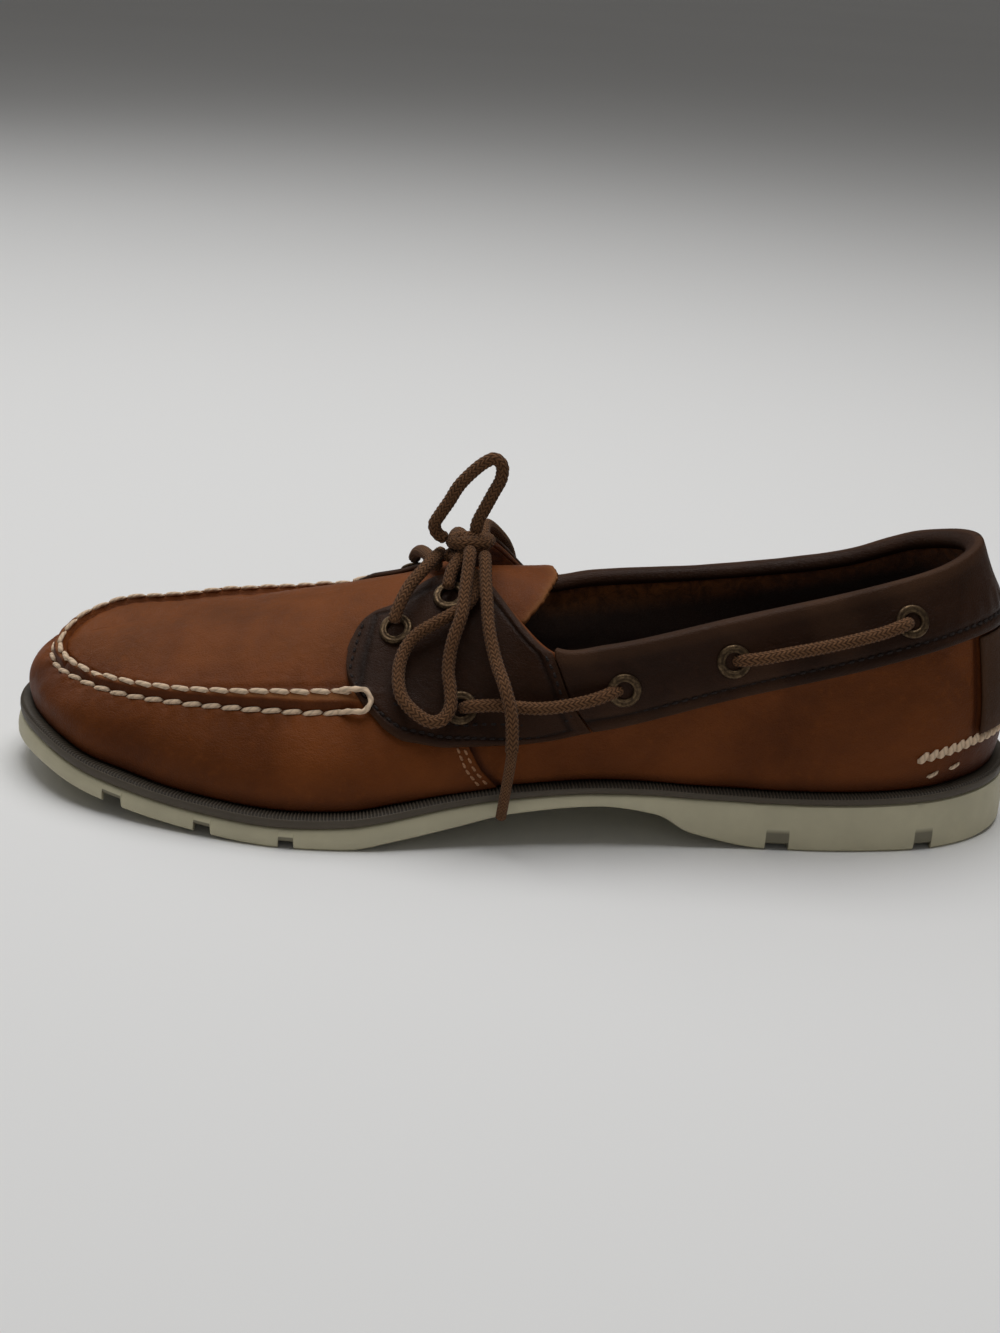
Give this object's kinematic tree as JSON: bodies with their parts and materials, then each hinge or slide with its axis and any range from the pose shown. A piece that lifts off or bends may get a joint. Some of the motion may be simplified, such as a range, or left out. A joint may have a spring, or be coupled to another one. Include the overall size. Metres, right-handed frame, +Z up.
{
  "type": "boat shoe",
  "caption": "Men's leather boat shoe for the left foot: moccasin toe with a raised seam, brown collar and eyestays, side lacing, tied lace and lugged rubber sole.",
  "frame": {"origin": "on the floor under the middle of the shoe's box, measured without the tied lace", "axes": "toe to -X, heel to +X, outer side of the foot to -Y, +Z up"},
  "size_m": [0.308, 0.1069, 0.1049],
  "materials": {
    "rubber": "matt cream-grey rubber",
    "welt": "dark brown ribbed rubber",
    "suede": "tan suede",
    "tan_leather": "oiled tan leather, slightly shiny",
    "brown_leather": "dark brown oiled leather",
    "brass": "antique brass, dulled",
    "lace": "round braided brown lace",
    "aglet": "brown sleeve"
  },
  "bodies": {
    "root": {"outsole": "rubber", "welt": "welt", "insole": "suede", "upper": "tan_leather", "tongue": "tan_leather", "collar_band": "brown_leather", "heel_strip": "brown_leather", "eyestay_outer": "brown_leather", "eyestay_inner": "brown_leather", "eyelet_outer_1": "brass", "eyelet_outer_2": "brass", "eyelet_outer_3": "brass", "eyelet_outer_4": "brass", "eyelet_outer_5": "brass", "eyelet_outer_6": "brass", "side_lace_outer_front": "lace", "side_lace_outer_rear": "lace", "eyelet_inner_1": "brass", "eyelet_inner_2": "brass", "eyelet_inner_3": "brass", "eyelet_inner_4": "brass", "eyelet_inner_5": "brass", "eyelet_inner_6": "brass", "side_lace_inner_front": "lace", "side_lace_inner_rear": "lace", "lace_crossing": "lace", "lace_knot": "lace", "lace_loop_high": "lace", "lace_loop_low": "lace", "lace_end_outer": "lace", "lace_end_inner": "lace", "aglet_outer": "aglet", "aglet_inner": "aglet"}
  },
  "joints": []
}
